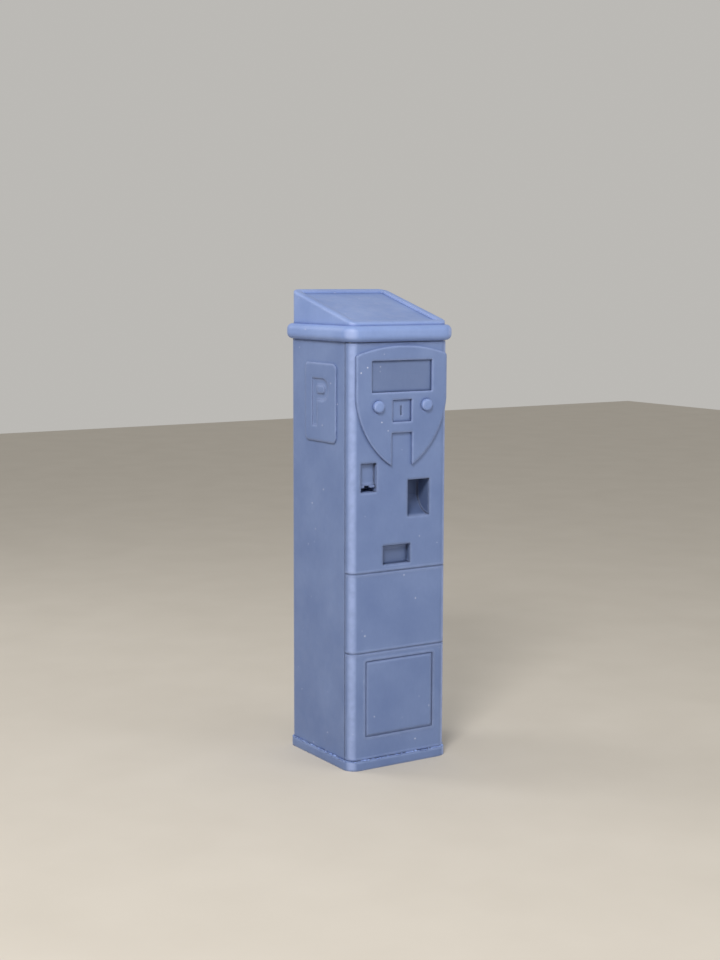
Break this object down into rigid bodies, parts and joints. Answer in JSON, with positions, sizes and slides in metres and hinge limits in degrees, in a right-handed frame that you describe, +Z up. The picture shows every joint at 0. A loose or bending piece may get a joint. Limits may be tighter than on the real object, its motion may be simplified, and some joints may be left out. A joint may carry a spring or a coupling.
{
  "type": "ticket vending machine",
  "caption": "Free-standing pay-and-display ticket machine: tall cabinet with hinged doors, shield bezel, push buttons, ticket pocket and sloping solar hood.",
  "frame": {"origin": "centre of the base on the ground", "axes": "+Z up, the front with the display faces -Y, +X to the right as seen from behind the front face looking along +Y"},
  "size_m": [0.452, 0.462, 1.6765],
  "materials": {
    "blue_grey_paint": "satin",
    "moulded_hood": "satin",
    "moulded_button": "satin",
    "display_window": "smooth",
    "solar_window": "smooth",
    "moulded_pocket": "satin",
    "black_plastic": "textured",
    "battery_case": "textured",
    "brass": "brushed",
    "rubber": "matt",
    "bare_steel": "zinc plated",
    "paper": "matt",
    "core_card": "matt"
  },
  "bodies": {
    "root": {"plinth": "blue_grey_paint", "cabinet_shell": "blue_grey_paint", "vault_floor": "blue_grey_paint", "vault_ceiling": "blue_grey_paint", "pivot_pins": "bare_steel", "top_collar": "moulded_hood", "top_plate": "blue_grey_paint", "solar_hood": "moulded_hood", "solar_panel": "solar_window", "left_sign": "blue_grey_paint", "right_sign": "blue_grey_paint", "lock_barrels": "bare_steel", "equipment_shelf": "bare_steel", "control_box": "black_plastic", "printer_frame": "bare_steel", "roll_spindle": "bare_steel", "print_head": "black_plastic", "coin_chute": "bare_steel", "coin_box": "bare_steel", "coin_box_lid": "bare_steel", "coin_box_handle": "bare_steel", "battery_tray": "bare_steel", "battery": "battery_case", "battery_terminals": "brass", "battery_rails": "bare_steel", "back_vent": "blue_grey_paint", "vent_rivets": "bare_steel"},
    "upper_door": {"upper_door": "blue_grey_paint", "shield_bezel": "blue_grey_paint", "display_glass": "display_window", "display_module": "black_plastic", "coin_entry_plate": "blue_grey_paint", "coin_validator": "black_plastic", "button_switches": "black_plastic", "card_reader": "moulded_pocket", "ticket_pocket": "moulded_pocket", "ticket_slide": "moulded_pocket", "coin_return_cup": "moulded_pocket", "flap_pin": "bare_steel", "upper_keeper": "bare_steel"},
    "left_button": {"left_button": "moulded_button"},
    "right_button": {"right_button": "moulded_button"},
    "coin_flap": {"coin_return_flap": "blue_grey_paint"},
    "vault_door": {"vault_door": "blue_grey_paint", "vault_armour": "bare_steel", "vault_keeper": "bare_steel"},
    "lower_door": {"lower_door": "blue_grey_paint", "access_panel": "blue_grey_paint", "lower_keeper": "bare_steel"},
    "upper_lock": {"upper_lock_plug": "brass", "upper_lock_cam": "bare_steel"},
    "vault_lock": {"vault_lock_plug": "brass", "vault_lock_cam": "bare_steel"},
    "lower_lock": {"lower_lock_plug": "brass", "lower_lock_cam": "bare_steel"},
    "paper": {"paper_roll": "paper", "paper_core": "core_card"},
    "platen": {"platen_roller": "rubber", "platen_shafts": "bare_steel"}
  },
  "joints": [
    {"name": "upper_door_hinge", "type": "hinge", "parent": "root", "child": "upper_door", "pos_m": [-0.193, -0.184, 1.1], "axis": [0, 0, -1], "range_deg": [0, 105]},
    {"name": "vault_door_hinge", "type": "hinge", "parent": "root", "child": "vault_door", "pos_m": [-0.193, -0.184, 0.559], "axis": [0, 0, -1], "range_deg": [0, 105]},
    {"name": "lower_door_hinge", "type": "hinge", "parent": "root", "child": "lower_door", "pos_m": [-0.193, -0.184, 0.226], "axis": [0, 0, -1], "range_deg": [0, 105]},
    {"name": "left_button_press", "type": "slide", "parent": "upper_door", "child": "left_button", "axis": [0, 1, 0], "range_m": [0, 0.004], "stiffness_N_per_m": 300},
    {"name": "right_button_press", "type": "slide", "parent": "upper_door", "child": "right_button", "axis": [0, 1, 0], "range_m": [0, 0.004], "stiffness_N_per_m": 300},
    {"name": "coin_flap_hinge", "type": "hinge", "parent": "upper_door", "child": "coin_flap", "pos_m": [-0.015, -0.1875, 0.786], "axis": [1, 0, 0], "range_deg": [0, 50]},
    {"name": "upper_lock_turn", "type": "hinge", "parent": "root", "child": "upper_lock", "pos_m": [0.18, -0.1445, 1.1], "axis": [-1, 0, 0], "range_deg": [0, 90]},
    {"name": "vault_lock_turn", "type": "hinge", "parent": "root", "child": "vault_lock", "pos_m": [0.18, -0.1445, 0.559], "axis": [-1, 0, 0], "range_deg": [0, 90]},
    {"name": "lower_lock_turn", "type": "hinge", "parent": "root", "child": "lower_lock", "pos_m": [0.18, -0.1445, 0.226], "axis": [-1, 0, 0], "range_deg": [0, 90]},
    {"name": "paper_turn", "type": "hinge", "parent": "root", "child": "paper", "pos_m": [0.092, 0.097, 1.134], "axis": [1, 0, 0], "continuous": true},
    {"name": "platen_turn", "type": "hinge", "parent": "root", "child": "platen", "pos_m": [0.092, -0.02, 1.1], "axis": [1, 0, 0], "continuous": true}
  ],
  "couplings": [
    {"joint": "platen_turn", "follows": "paper_turn", "ratio": 6.2}
  ]
}
